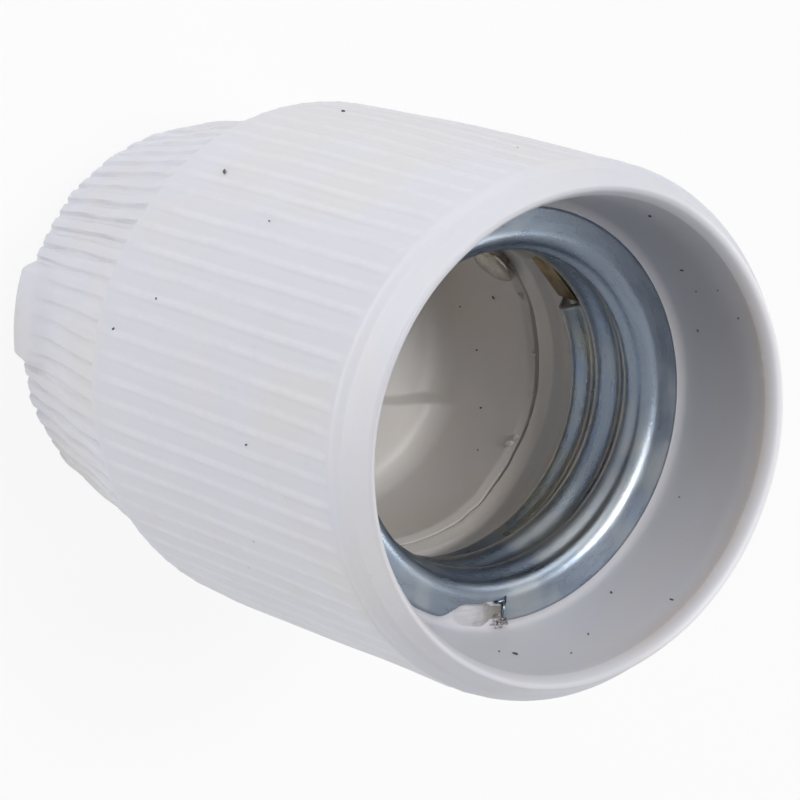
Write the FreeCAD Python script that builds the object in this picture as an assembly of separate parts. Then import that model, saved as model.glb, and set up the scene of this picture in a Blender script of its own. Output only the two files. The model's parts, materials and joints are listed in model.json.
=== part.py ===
import FreeCAD, Part
import math
import os

# Porcelain screw lamp holder for E27 lamps, standing on its rear end with the mouth up.
# Millimetres. +Z runs from the rear end to the mouth, and the origin is the middle of the
# rear end's flat foot. A depth is measured down from the mouth plane, just under the lip.

# Outside
LENGTH = 57.0             # rear end to the top of the lip
LIP_RISE = 0.5            # how far the lip stands above the mouth plane
SKIRT_RADIUS = 21.0       # over the ribs
RIB_COUNT = 74
RIB_HEIGHT = 0.32
RIB_SHARE = 0.30          # part of the pitch that a rib takes at its foot
JOIN_DEPTH = 36.25        # where the skirt ends and the rear cap begins
CAP_RADIUS = 20.7         # over the flutes, at the join
CAP_TAPER = 0.24          # radius lost for each millimetre towards the rear end
CAP_CORNER = 2.6          # height of the rounded rear corner
FLUTE_WIDTH = 0.62
FLUTE_DEPTH = 0.3
PAD_WIDTH = 7.8           # smooth pad on the cap's side
PAD_TOP = 7.4             # height of the pad's upper edge above the foot
PAD_RISE = 0.9

# Lamp opening
LIP_RADIUS = 19.1         # top of the lip
LIP_INNER = 17.5
LIP_OUTER = 20.2
SEAT_DEPTH = 9.15         # ledge that the shell's flange lies on
SEAT_RADIUS = 16.4
THROAT_RADIUS = 14.2
THROAT_END = 18.2
RELIEF_RADIUS = 15.3
SEAM_DEPTH = 23.5         # ledge that the contact base reaches
NECK_OPENING = 13.3

# Screw shell, of rolled sheet, for the E27 thread: 26.7 mm over its roots, 24.7 mm inside
# its crests
SHEET = 0.35
THREAD_RADIUS = 12.85     # pitch radius
FLANGE_RADIUS = 16.1
CORNER_RADIUS = 0.9       # bend from the flange into the shell
SHELL_END = 19.1          # depth of the flared rear edge
FLARE_RADIUS = 13.95
FLARE_HEIGHT = 1.4
NOTCH_START = -17.0       # degrees from +X, where the notch's curved side begins
NOTCH_END = 5.5           # degrees from +X, the notch's square side

# Contact base
BASE_RADIUS = 15.2
BASE_BORE = 13.0
FLOOR_DEPTH = 37.4
LAND_DEPTH = 33.6         # raised part of the floor
LAND_EDGE = 3.5           # distance of its straight edge from the axis
BASE_CORNER = 2.0
SEAM_GAP = 0.15

# Rear cap
NECK_RADIUS = 17.4        # coarse screw neck that enters the skirt
NECK_CLEARANCE = 0.35
NECK_BORE = 15.5
NECK_LENGTH = 10.8
CHAMBER_RADIUS = 12.5
CHAMBER_FLOOR = 4.5
BASE_SEAT = 15.3          # height of the ledge that carries the contact base
FOOT_RECESS = 9.6
RECESS_DEPTH = 1.8

# Metal pieces
STRIP = 0.5               # thickness of the contact blades
BLADE_WIDTH = 5.0
SIDE_ANGLE = 137.0        # place of the side contact round the axis
SIDE_BLADE_RADIUS = 14.3
RIVET_DEPTH = 24.9
BUSH_BORE = 4.6
BUSH_BARREL = 6.4
BUSH_FLANGE = 8.2
NUT_FLATS = 17.0
NUT_HEIGHT = 3.0
RUNNING = 0.15            # clearance between pieces that are put together by hand
RIVET_SHANK = 1.2
RIVET_HEAD = 2.1
CENTRE_RIVET_Y = -8.9
LEAF_SEAT_Y = -10.2       # inner end of the seat that the centre contact bends over
TERMINAL_RADIUS = 7.6     # distance of the side terminal from the axis
TERMINAL_TOP = BASE_SEAT + 0.2
TERMINAL_WIDTH = 5.6
TERMINAL_HEIGHT = 4.2
SCREW_SHANK = 1.5
SCREW_HEAD = 2.6
SCREW_HEAD_HEIGHT = 1.5
WASHER = 0.5

MOUTH = LENGTH - LIP_RISE
AXIS = FreeCAD.Vector(0, 0, 1)
ORIGIN = FreeCAD.Vector(0, 0, 0)


def height(depth):
    """Height above the foot of a point this far below the mouth plane."""
    return MOUTH - depth


def at(x, y, z):
    return FreeCAD.Vector(x, y, z)


def ring_point(radius, degrees, z=0.0):
    turn = math.radians(degrees)
    return at(radius * math.cos(turn), radius * math.sin(turn), z)


def outline(steps):
    """Closed wire in the XZ plane. A step is a point (r, z), or a pair of points for an
    arc through the first to the second."""
    corners = [step[-1] if isinstance(step[0], tuple) else step for step in steps]
    edges = []
    for number, step in enumerate(steps):
        start = at(corners[number - 1][0], 0, corners[number - 1][1])
        end = at(corners[number][0], 0, corners[number][1])
        if isinstance(step[0], tuple):
            middle = at(step[0][0], 0, step[0][1])
            edges.append(Part.Arc(start, middle, end).toShape())
        else:
            edges.append(Part.LineSegment(start, end).toShape())
    return Part.Wire(edges)


def turned(steps):
    """Solid of revolution about the axis."""
    return Part.Face(outline(steps)).revolve(ORIGIN, AXIS, 360)


def cylinder(radius, low, high, x=0.0, y=0.0):
    return Part.makeCylinder(radius, high - low, at(x, y, low))


def block(x0, x1, y0, y1, z0, z1):
    return Part.makeBox(x1 - x0, y1 - y0, z1 - z0, at(x0, y0, z0))


def turn(shape, degrees):
    """Turn a shape about the axis and give it back."""
    shape.rotate(ORIGIN, AXIS, degrees)
    return shape


def save(name, shape):
    if not shape.isValid():
        print("not valid:", name)
    print("%-22s %9.1f mm3 %4d faces" % (name, shape.Volume, len(shape.Faces)))
    shape.exportStep("parts/" + name + ".step")


# Skirt: the ribbed porcelain body round the lamp opening

def ribbed_section(foot_radius, crest_radius, count, share):
    """Closed outline in the XY plane: shallow arcs between narrow raised ribs."""
    pitch = 360.0 / count
    half_foot = 0.5 * share * pitch
    half_crest = 0.6 * half_foot
    edges = []
    for number in range(count):
        middle = number * pitch
        left_foot = ring_point(foot_radius, middle - half_foot)
        left_crest = ring_point(crest_radius, middle - half_crest)
        right_crest = ring_point(crest_radius, middle + half_crest)
        right_foot = ring_point(foot_radius, middle + half_foot)
        next_foot = ring_point(foot_radius, middle + pitch - half_foot)
        bottom = ring_point(foot_radius, middle + pitch / 2)
        edges.append(Part.LineSegment(left_foot, left_crest).toShape())
        edges.append(Part.LineSegment(left_crest, right_crest).toShape())
        edges.append(Part.LineSegment(right_crest, right_foot).toShape())
        edges.append(Part.Arc(right_foot, bottom, next_foot).toShape())
    return Part.Wire(edges)


def ribbed_barrel(low, high):
    foot = SKIRT_RADIUS - RIB_HEIGHT
    section = Part.Face(ribbed_section(foot, SKIRT_RADIUS, RIB_COUNT, RIB_SHARE))
    section.translate(at(0, 0, low))
    return section.extrude(at(0, 0, high - low))


def skirt_envelope(low, top):
    """The ribs are bevelled at the rear edge and round off under the lip."""
    edge = 0.45
    return turned([
        (0, low),
        (SKIRT_RADIUS - edge, low),
        (SKIRT_RADIUS, low + edge),
        (SKIRT_RADIUS, top - 2 * edge),
        ((SKIRT_RADIUS - 0.3 * edge, top - 0.6 * edge), (SKIRT_RADIUS - edge, top)),
        (0, top),
    ])


def lip():
    """Bead round the mouth, with a shallow hollow between it and the ribs."""
    crest = LENGTH
    outer = (LIP_OUTER, height(0.75))
    return turned([
        (LIP_INNER - 0.4, height(2.5)),
        (SKIRT_RADIUS - RIB_HEIGHT, height(2.5)),
        (SKIRT_RADIUS - RIB_HEIGHT, height(1.75)),
        ((LIP_OUTER + 0.02, height(1.45)), outer),
        ((LIP_OUTER - 0.26, crest - 0.4), (LIP_RADIUS, crest)),
        ((LIP_INNER + 0.36, crest - 0.5), (LIP_INNER - 0.02, height(1.0))),
    ])


def lamp_opening():
    """Everything hollow in the skirt: recess, flange seat, throat, relief, ledge and the
    wide rear bore that takes the cap's neck."""
    rear_bore = NECK_RADIUS + NECK_CLEARANCE
    ledge_top = height(THROAT_END + 3.6)
    recess_foot = SEAT_RADIUS
    return turned([
        (0, LENGTH + 1),
        (LIP_INNER + 0.12, LENGTH + 1),
        (LIP_INNER, height(0.9)),
        (recess_foot, height(SEAT_DEPTH)),
        (THROAT_RADIUS, height(SEAT_DEPTH)),
        (THROAT_RADIUS, height(THROAT_END)),
        (RELIEF_RADIUS, height(THROAT_END)),
        (RELIEF_RADIUS, ledge_top),
        ((NECK_OPENING + 0.55, height(SEAM_DEPTH - 0.95)),
         (NECK_OPENING, height(SEAM_DEPTH - 0.3))),
        (NECK_OPENING, height(SEAM_DEPTH)),
        (NECK_BORE, height(SEAM_DEPTH)),
        (NECK_BORE, height(JOIN_DEPTH) + NECK_LENGTH + 0.4),
        (rear_bore, height(JOIN_DEPTH) + NECK_LENGTH + 0.4),
        (rear_bore, height(JOIN_DEPTH) - 1),
        (0, height(JOIN_DEPTH) - 1),
    ])


def blade_slot():
    """Slot through the ledge and the throat for the side contact's blade."""
    slot = block(SIDE_BLADE_RADIUS - 0.3, RELIEF_RADIUS + 0.1,
                 -0.5 * BLADE_WIDTH - 0.5, 0.5 * BLADE_WIDTH + 0.5,
                 height(JOIN_DEPTH) + NECK_LENGTH, height(14.0))
    return turn(slot, SIDE_ANGLE)


def flange_key():
    """Small porcelain lump on the seat, inside the flange's notch, that stops the shell
    from turning with the lamp."""
    width = 3.0
    key = block(THROAT_RADIUS + 0.3, SEAT_RADIUS + 0.3, -0.5 * width, 0.5 * width,
                height(SEAT_DEPTH) - 0.5, height(SEAT_DEPTH) + 0.4)
    top = [edge for edge in key.Edges if edge.BoundBox.ZMin > height(SEAT_DEPTH)]
    key = key.makeFillet(0.35, top)
    return turn(key, 0.5 * NOTCH_START + 0.6 * NOTCH_END)


def skirt():
    low = height(JOIN_DEPTH)
    shoulder = height(1.5)
    body = ribbed_barrel(low, shoulder).common(skirt_envelope(low, shoulder))
    body = body.fuse(lip())
    body = body.cut(lamp_opening())
    body = body.cut(blade_slot())
    return body.fuse(flange_key()).removeSplitter()


# Screw shell: flange, bend, threaded wall and flared rear edge, from one sheet of steel

def shell_sheet():
    """The wall stands at the thread's pitch radius, half way between root and crest."""
    top = height(SEAT_DEPTH) + SHEET
    end = height(SHELL_END)
    wall = THREAD_RADIUS
    bend = CORNER_RADIUS
    inside = bend - SHEET
    waist = 1 - math.sqrt(0.5)
    return turned([
        (FLANGE_RADIUS, top - SHEET),
        (FLANGE_RADIUS, top),
        (wall + bend, top),
        ((wall + waist * bend, top - waist * bend), (wall, top - bend)),
        (wall, end + FLARE_HEIGHT),
        ((wall + 0.3, end + 0.6 * FLARE_HEIGHT), (FLARE_RADIUS, end)),
        (FLARE_RADIUS + 0.7 * SHEET, end - 0.7 * SHEET),
        ((wall + 0.28 + SHEET, end + 0.5 * FLARE_HEIGHT),
         (wall + SHEET, end + 1.1 * FLARE_HEIGHT)),
        (wall + SHEET, top - bend),
        ((wall + SHEET + waist * inside, top - SHEET - waist * inside),
         (wall + bend, top - SHEET)),
    ])


def flange_notch():
    """Cutter for the notch: one side sweeps in along a curve, the other is square."""
    low = height(SEAT_DEPTH) - 1.0
    outside = FLANGE_RADIUS + 1.0
    curve = Part.BSplineCurve()
    curve.interpolate([
        ring_point(outside, NOTCH_START - 3.0, low),
        ring_point(FLANGE_RADIUS - 0.5, NOTCH_START + 2.0, low),
        ring_point(THREAD_RADIUS + 1.95, NOTCH_START + 6.5, low),
        ring_point(THREAD_RADIUS + 1.5, NOTCH_END - 8.0, low),
    ])
    inner = ring_point(THREAD_RADIUS + 1.25, NOTCH_END, low)
    outer = ring_point(outside, NOTCH_END, low)
    wire = Part.Wire([
        curve.toShape(),
        Part.LineSegment(ring_point(THREAD_RADIUS + 1.5, NOTCH_END - 8.0, low), inner).toShape(),
        Part.LineSegment(inner, outer).toShape(),
        Part.LineSegment(outer, ring_point(outside, NOTCH_START - 3.0, low)).toShape(),
    ])
    return Part.Face(wire).extrude(at(0, 0, 3.0))


def shell_window():
    """Opening at the rear of the shell through which the side contact's blade shows."""
    window = block(THREAD_RADIUS - 2.5, SEAT_RADIUS, -2.9, 2.9,
                   height(SHELL_END) - 2.0, height(15.2))
    return turn(window, SIDE_ANGLE)


def screw_shell():
    return shell_sheet().cut(flange_notch()).cut(shell_window())


# Contact base: the porcelain cup that carries the contacts

def base_hollow(floor):
    mouth = height(SEAM_DEPTH) + 1
    corner = BASE_CORNER
    bend = corner * (1 - math.sqrt(0.5))
    return turned([
        (0, floor),
        (BASE_BORE - corner, floor),
        ((BASE_BORE - bend, floor + bend), (BASE_BORE, floor + corner)),
        (BASE_BORE, height(SEAM_DEPTH) - SEAM_GAP - 0.4),
        (BASE_BORE + 0.4, height(SEAM_DEPTH) - SEAM_GAP),
        (BASE_BORE + 0.4, mouth),
        (0, mouth),
    ])


def contact_base():
    rim = height(SEAM_DEPTH) - SEAM_GAP
    deep = height(FLOOR_DEPTH)
    body = cylinder(BASE_RADIUS, BASE_SEAT, rim)
    lower = base_hollow(deep).common(block(-20, LAND_EDGE, -20, 20, 0, LENGTH))
    body = body.cut(base_hollow(height(LAND_DEPTH))).cut(lower)
    body = body.cut(side_blade_room())
    body = body.cut(turn(side_rivet_hole(), SIDE_ANGLE))
    body = body.cut(leaf_recess())
    body = body.cut(terminal_pocket())
    for x, y in (centre_rivet_place(), side_terminal_place()):
        body = body.cut(cylinder(RIVET_SHANK + 0.1, BASE_SEAT - 1, deep + 1, x, y))
    return body.removeSplitter()


def side_blade_room():
    """Groove down the outside of the cup and on under its floor for the side contact."""
    half = 0.5 * BLADE_WIDTH + 0.3
    down = block(SIDE_BLADE_RADIUS - 0.2, BASE_RADIUS + 1, -half, half,
                 BASE_SEAT - 1, height(SEAM_DEPTH))
    under = block(4.0, BASE_RADIUS + 1, -half, half, BASE_SEAT - 1, BASE_SEAT + 0.9)
    return turn(down.fuse(under), SIDE_ANGLE)


def side_rivet_hole():
    start = at(BASE_BORE - 1, 0, height(RIVET_DEPTH))
    return Part.makeCylinder(RIVET_SHANK + 0.1, 4.0, start, at(1, 0, 0))


def terminal_pocket():
    """Shallow pocket under the floor that keeps the centre terminal square."""
    half = 0.5 * TERMINAL_WIDTH + 0.15
    y = CENTRE_RIVET_Y
    return block(-half, half, y - half, y + half, BASE_SEAT - 1, TERMINAL_TOP)


def leaf_recess():
    """Room under the centre contact's foot, so that the leaf can be pressed down."""
    half = 0.5 * BLADE_WIDTH + 0.4
    floor = height(FLOOR_DEPTH)
    return block(-half, half, LEAF_SEAT_Y, 4.0, floor - 0.9, floor + 0.5)


# Contacts, rivets and terminals

def centre_rivet_place():
    return (0.0, CENTRE_RIVET_Y)


def side_terminal_place():
    spot = ring_point(TERMINAL_RADIUS, SIDE_ANGLE)
    return (spot.x, spot.y)


def side_contact():
    """Brass blade: up the outside of the cup to the shell, and in under the floor."""
    half = 0.5 * BLADE_WIDTH
    outer = SIDE_BLADE_RADIUS + STRIP
    low = TERMINAL_TOP
    upright = block(SIDE_BLADE_RADIUS, outer, -half, half, low, height(15.6))
    foot = block(4.6, outer, -half, half, low, low + STRIP)
    blade = upright.fuse(foot).removeSplitter()
    bends = [edge for edge in blade.Edges
             if abs(edge.BoundBox.YLength - BLADE_WIDTH) < 0.01
             and edge.BoundBox.XMax > SIDE_BLADE_RADIUS + 0.5 * STRIP
             and edge.BoundBox.ZMax < low + 0.1]
    blade = blade.makeFillet(STRIP, bends)
    hole = Part.makeCylinder(RIVET_SHANK, 6.0, at(BASE_BORE, 0, height(RIVET_DEPTH)), at(1, 0, 0))
    blade = blade.cut(hole)
    blade = blade.cut(cylinder(RIVET_SHANK, low - 1, low + 2, TERMINAL_RADIUS, 0))
    return turn(blade, SIDE_ANGLE)


def domed_head(radius, rise):
    """Round rivet head standing on the plane z = 0."""
    dome = (radius * radius + rise * rise) / (2 * rise)
    ball = Part.makeSphere(dome, at(0, 0, rise - dome))
    return ball.common(cylinder(radius, 0, rise + 1))


def side_rivet():
    """Its domed head shows on the cup's inner wall, and its tail clenches the blade."""
    inner = BASE_BORE - 0.25
    head = domed_head(RIVET_HEAD, 1.1)
    shank = cylinder(RIVET_SHANK, -(SIDE_BLADE_RADIUS + STRIP + 0.1 - inner), 0.1)
    rivet = head.fuse(shank)
    rivet.rotate(ORIGIN, at(0, 1, 0), -90)
    rivet.translate(at(inner, 0, height(RIVET_DEPTH)))
    return turn(rivet, SIDE_ANGLE)


def floor_rivet(place, top):
    """Rivet through the floor that joins a contact to the terminal below it."""
    x, y = place
    head = domed_head(RIVET_HEAD, 0.9)
    head.translate(at(x, y, top))
    shank = cylinder(RIVET_SHANK, TERMINAL_TOP - 1.5, top + 0.1, x, y)
    return head.fuse(shank)


def centre_contact():
    """Springy leaf: its foot is riveted to the floor and its nose rises on the axis."""
    low = height(FLOOR_DEPTH)
    half = 0.5 * BLADE_WIDTH
    route = [(-10.9, low), (-6.2, low), (-3.2, low + 4.4), (-1.0, low + 5.6), (1.9, low + 4.8)]
    top = [(-10.9, low + STRIP), (-6.5, low + STRIP), (-3.5, low + 4.85),
           (-0.9, low + 6.15), (2.0, low + 5.35)]
    wire_points = [at(-half, y, z) for y, z in route + top[::-1]]
    leaf = Part.Face(Part.makePolygon(wire_points + wire_points[:1]))
    leaf = leaf.extrude(at(BLADE_WIDTH, 0, 0))
    x, y = centre_rivet_place()
    return leaf.cut(cylinder(RIVET_SHANK + 0.5, low - 1, low + 2, x, y))


def terminal_block(place, degrees):
    """Brass block with a cross hole for the wire and a tapped hole for its screw."""
    width, depth = TERMINAL_WIDTH, 5.0
    low = TERMINAL_TOP - TERMINAL_HEIGHT
    piece = block(-0.5 * depth, 0.5 * depth, -0.5 * width, 0.5 * width, low, TERMINAL_TOP)
    wire = Part.makeCylinder(1.15, width + 2, at(0, -0.5 * width - 1, low + 1.5), at(0, 1, 0))
    piece = piece.cut(wire)
    piece = piece.cut(cylinder(SCREW_SHANK + 0.05, low - 1, low + 1.6))
    piece = piece.cut(cylinder(RIVET_SHANK, TERMINAL_TOP - 1.5, TERMINAL_TOP + 1))
    turn(piece, degrees)
    piece.translate(at(place[0], place[1], 0))
    return piece


def terminal_screw(place):
    """Cheese-head screw from below, slotted, with a thin square-edged washer's seat."""
    x, y = place
    top = TERMINAL_TOP - TERMINAL_HEIGHT
    seat = top - WASHER
    screw = cylinder(SCREW_HEAD, seat - SCREW_HEAD_HEIGHT, seat - 0.02)
    screw = screw.fuse(cylinder(SCREW_SHANK, seat - 0.02, top + 1.3))
    slot = block(-0.35, 0.35, -4, 4, seat - SCREW_HEAD_HEIGHT - 1, seat - SCREW_HEAD_HEIGHT + 0.7)
    screw = screw.cut(slot)
    screw.translate(at(x, y, 0))
    return screw


def screw_washer(place):
    x, y = place
    top = TERMINAL_TOP - TERMINAL_HEIGHT
    disc = cylinder(SCREW_HEAD + 0.3, top - WASHER, top)
    disc = disc.cut(cylinder(SCREW_SHANK + 0.15, top - 2, top + 1))
    disc.translate(at(x, y, 0))
    return disc


# Rear cap: the fluted porcelain end that screws into the skirt

def cap_outline(inset):
    """Outer line of the cap in the XZ plane, from the join down to the foot."""
    top = height(JOIN_DEPTH) - 0.1
    crest = CAP_RADIUS - inset
    slope_end = crest - CAP_TAPER * (top - CAP_CORNER)
    return crest, slope_end, top


def cap_solid(inset):
    crest, slope_end, top = cap_outline(inset)
    foot = slope_end - 0.72 * CAP_CORNER
    return turned([
        (0, inset if inset > 0 else 0),
        (foot, inset if inset > 0 else 0),
        ((slope_end - 0.26 * CAP_CORNER, 0.27 * CAP_CORNER), (slope_end, CAP_CORNER)),
        (crest - 0.12, top - 0.5),
        (crest - 0.5, top),
        (0, top),
    ])


def flute_cutter():
    """Narrow slab that follows the cap's line, at a fixed depth under it."""
    crest, slope_end, top = cap_outline(FLUTE_DEPTH)
    reach = CAP_RADIUS + 3
    line = outline([
        (slope_end - 0.62 * CAP_CORNER, -1.0),
        (slope_end - 0.62 * CAP_CORNER, 0.05 * CAP_CORNER),
        ((slope_end - 0.2 * CAP_CORNER, 0.36 * CAP_CORNER), (slope_end, CAP_CORNER)),
        (crest, top + 1),
        (reach, top + 1),
        (reach, -1.0),
    ])
    slab = Part.Face(line).extrude(at(0, FLUTE_WIDTH, 0))
    slab.translate(at(0, -0.5 * FLUTE_WIDTH, 0))
    return slab


def side_pad():
    """Smooth pad on the -Y side, from part way up down to the foot."""
    raised = cap_solid(-PAD_RISE)
    pad = block(-0.5 * PAD_WIDTH, 0.5 * PAD_WIDTH, -2 * CAP_RADIUS, -8.0, 0, PAD_TOP)
    corners = [edge for edge in pad.Edges
               if edge.BoundBox.ZMin > PAD_TOP - 0.1 and edge.BoundBox.YLength > 1]
    pad = pad.makeFillet(1.3, corners)
    return raised.common(pad)


def cap_cavity():
    return turned([
        (0, -1),
        (FOOT_RECESS, -1),
        (FOOT_RECESS, RECESS_DEPTH),
        (BUSH_BARREL + RUNNING, RECESS_DEPTH),
        (BUSH_BARREL + RUNNING, CHAMBER_FLOOR),
        (CHAMBER_RADIUS, CHAMBER_FLOOR),
        (CHAMBER_RADIUS, BASE_SEAT),
        (NECK_BORE, BASE_SEAT),
        (NECK_BORE, LENGTH),
        (0, LENGTH),
    ])


def rear_cap():
    top = height(JOIN_DEPTH)
    body = cap_solid(0)
    cutters = []
    for number in range(RIB_COUNT):
        cutters.append(turn(flute_cutter(), (number + 0.5) * 360.0 / RIB_COUNT))
    body = body.cut(Part.makeCompound(cutters))
    body = body.fuse(side_pad())
    body = body.fuse(cylinder(NECK_RADIUS, top - 2, top + NECK_LENGTH))
    return body.cut(cap_cavity()).removeSplitter()


# Cable entry: flanged bush through the cap's end and the nut that holds it

def entry_bush():
    flange_low = RECESS_DEPTH - 1.2
    body = cylinder(BUSH_FLANGE, flange_low, RECESS_DEPTH)
    body = body.fuse(cylinder(BUSH_BARREL, RECESS_DEPTH, CHAMBER_FLOOR + NUT_HEIGHT + 0.9))
    return body.cut(cylinder(BUSH_BORE, -1, BASE_SEAT))


def entry_nut():
    corner = 0.5 * NUT_FLATS / math.cos(math.radians(30))
    points = [ring_point(corner, 60 * number, CHAMBER_FLOOR) for number in range(7)]
    nut = Part.Face(Part.makePolygon(points)).extrude(at(0, 0, NUT_HEIGHT))
    return nut.cut(cylinder(BUSH_BARREL, 0, BASE_SEAT))


def build():
    os.makedirs("parts", exist_ok=True)
    centre, side = centre_rivet_place(), side_terminal_place()
    save("skirt", skirt())
    save("screw_shell", screw_shell())
    save("contact_base", contact_base())
    save("centre_contact", centre_contact())
    save("side_contact", side_contact())
    save("side_rivet", side_rivet())
    save("centre_rivet", floor_rivet(centre, height(FLOOR_DEPTH) + STRIP + 0.12))
    save("side_terminal_rivet", floor_rivet(side, height(FLOOR_DEPTH)))
    save("centre_terminal", terminal_block(centre, 90))
    save("side_terminal", terminal_block(side, SIDE_ANGLE))
    save("centre_washer", screw_washer(centre))
    save("side_washer", screw_washer(side))
    save("centre_terminal_screw", terminal_screw(centre))
    save("side_terminal_screw", terminal_screw(side))
    save("rear_cap", rear_cap())
    save("entry_bush", entry_bush())
    save("entry_nut", entry_nut())


build()
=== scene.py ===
import json
import math

import bmesh
import bpy
import numpy as np
from mathutils import Matrix, Vector

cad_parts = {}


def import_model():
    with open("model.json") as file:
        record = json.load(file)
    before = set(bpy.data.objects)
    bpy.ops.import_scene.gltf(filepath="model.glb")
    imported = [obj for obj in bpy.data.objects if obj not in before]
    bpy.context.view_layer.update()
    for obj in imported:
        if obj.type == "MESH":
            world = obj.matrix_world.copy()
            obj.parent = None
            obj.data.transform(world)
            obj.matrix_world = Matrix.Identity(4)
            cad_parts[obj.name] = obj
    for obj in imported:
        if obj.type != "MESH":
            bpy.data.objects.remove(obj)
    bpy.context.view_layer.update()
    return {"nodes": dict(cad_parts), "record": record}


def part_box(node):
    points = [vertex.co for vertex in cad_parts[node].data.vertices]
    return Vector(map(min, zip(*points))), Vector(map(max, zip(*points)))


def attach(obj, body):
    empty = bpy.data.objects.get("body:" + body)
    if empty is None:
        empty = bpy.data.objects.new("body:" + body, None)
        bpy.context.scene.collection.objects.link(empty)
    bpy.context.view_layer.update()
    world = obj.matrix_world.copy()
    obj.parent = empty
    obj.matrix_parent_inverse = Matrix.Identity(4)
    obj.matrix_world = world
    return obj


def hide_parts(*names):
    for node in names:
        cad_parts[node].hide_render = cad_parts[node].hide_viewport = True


bl_info = {
    "name": "Porcelain Lamp Holder",
    "version": (1, 0, 0),
    "blender": (4, 5, 0),
    "location": "View3D > Sidebar > Lamp Holder",
    "description": "Builds the surfaces and finishes of a porcelain screw lamp holder",
    "category": "Object",
}

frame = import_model()

# Lengths inside the functions are millimetres; the frame and the panel are in metres.
MM = 0.001
TURN = 2 * math.pi


def corners(node):
    """Lowest and highest corner of a CAD node, in millimetres."""
    low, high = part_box(node)
    return np.array(low) / MM, np.array(high) / MM


SKIRT_LOW, SKIRT_HIGH = corners("skirt")
SHELL_LOW, SHELL_HIGH = corners("screw_shell")
BASE_LOW, BASE_HIGH = corners("contact_base")
BUSH_LOW, BUSH_HIGH = corners("entry_bush")

LIP_RISE = 0.5                        # lip above the mouth plane
MOUTH = SKIRT_HIGH[2] - LIP_RISE
JOIN = SKIRT_LOW[2]                   # rear edge of the skirt
SKIRT_RADIUS = SKIRT_HIGH[0]
FLANGE_TOP = SHELL_HIGH[2]
FLANGE_RADIUS = SHELL_HIGH[0]
SHELL_END = SHELL_LOW[2]
RIM = BASE_HIGH[2]                    # rim of the contact base, at the seam
SEAM = RIM + 0.15
BASE_UNDER = BASE_LOW[2]
THREAD_PITCH = 3.629                  # E27
FIRST_RIB = 0.28                      # of a pitch, from the +X side back to the nearest rib
NECK_PITCH = 4.0                      # coarse thread between skirt and cap


# Panel settings

def length_setting(name, description, default):
    return bpy.props.FloatProperty(
        name=name, description=description, default=default, unit="LENGTH", precision=5)


def colour_setting(name, description, default):
    return bpy.props.FloatVectorProperty(
        name=name, description=description, default=default, subtype="COLOR", min=0, max=1)


class HolderSizes(bpy.types.PropertyGroup):
    """Sizes that the surfaces are worked out from."""
    rib_count: bpy.props.IntProperty(
        name="Ribs", description="Ribs round the skirt, and flutes round the cap",
        default=73, min=12, max=120)
    rib_height: length_setting("Rib height", "How far the skirt's ribs stand out", 0.00012)
    flute_depth: length_setting("Flute depth", "Depth of the grooves round the rear cap", 0.00042)
    thread_depth: length_setting("Thread depth", "Root to crest of the shell's thread", 0.00090)
    sheet: length_setting("Shell sheet", "Thickness of the shell's steel", 0.00035)
    unevenness: length_setting("Unevenness", "How far the porcelain strays from true", 0.00007)


class HolderFinishes(bpy.types.PropertyGroup):
    """Colours of the materials."""
    glaze: colour_setting("Porcelain", "Outside of skirt and cap", (0.70, 0.705, 0.765))
    biscuit: colour_setting("Inner porcelain", "Unglazed contact base", (0.78, 0.755, 0.735))
    zinc: colour_setting("Zinc plate", "Screw shell and bush", (0.33, 0.39, 0.475))
    nickel: colour_setting("Nickel plate", "Rivets", (0.62, 0.59, 0.53))
    brass: colour_setting("Brass", "Blade and terminals", (0.60, 0.46, 0.24))
    bronze: colour_setting("Spring bronze", "Centre contact", (0.62, 0.40, 0.22))


def sizes():
    return bpy.context.scene.holder_sizes


def finishes():
    return bpy.context.scene.holder_finishes


# Shapes

def unit(vector):
    return vector / np.linalg.norm(vector)


def smooth(value, start, end):
    """0 before start, 1 after end, and the S-curve 3t^2 - 2t^3 between them."""
    t = np.clip((value - start) / (end - start), 0, 1)
    return t * t * (3 - 2 * t)


def bent(points, step):
    """A profile in the (r, z) plane. Each point is (r, z, bend radius): straight runs meet
    in arcs that touch both, and both are cut into pieces of about `step`."""
    points = np.array(points, float)
    trail = [points[:1, :2]]
    here = points[0, :2]
    for before, corner, after in zip(points, points[1:], points[2:]):
        back = unit(before[:2] - corner[:2])
        ahead = unit(after[:2] - corner[:2])
        half = 0.5 * math.acos(np.clip(back @ ahead, -1, 1))
        radius = max(corner[2], 1e-6)
        cut = radius / math.tan(half)
        start = corner[:2] + back * cut
        centre = corner[:2] + unit(back + ahead) * radius / math.sin(half)
        trail.append(run(here, start, step))
        if corner[2] > 0:
            trail.append(arc(centre, start, corner[:2] + ahead * cut, step))
        here = corner[:2] + ahead * (cut if corner[2] > 0 else 0)
    trail.append(run(here, points[-1, :2], step))
    return np.concatenate(trail)


def run(start, end, step):
    """Even points on a straight line, without its first."""
    count = max(1, math.ceil(np.linalg.norm(end - start) / step))
    share = np.linspace(0, 1, count + 1)[1:, None]
    return start + (end - start) * share


def arc(centre, start, end, step):
    """Even points on the circular arc about centre, without its first. A point is the
    spherical blend of the two end radii."""
    first, last = start - centre, end - centre
    sweep = math.acos(np.clip(unit(first) @ unit(last), -1, 1))
    count = max(3, math.ceil(sweep * np.linalg.norm(first) / step), math.ceil(sweep / 0.3))
    share = np.linspace(0, 1, count + 1)[1:, None]
    blend = np.sin((1 - share) * sweep) * first + np.sin(share * sweep) * last
    return centre + blend / math.sin(sweep)


def round_grid(radius, height, angles):
    """Points at (radius, angle, height): x = r cos a, y = r sin a."""
    radius, height, angles = np.broadcast_arrays(radius, height, angles)
    return np.stack([radius * np.cos(angles), radius * np.sin(angles), height], -1)


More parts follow.
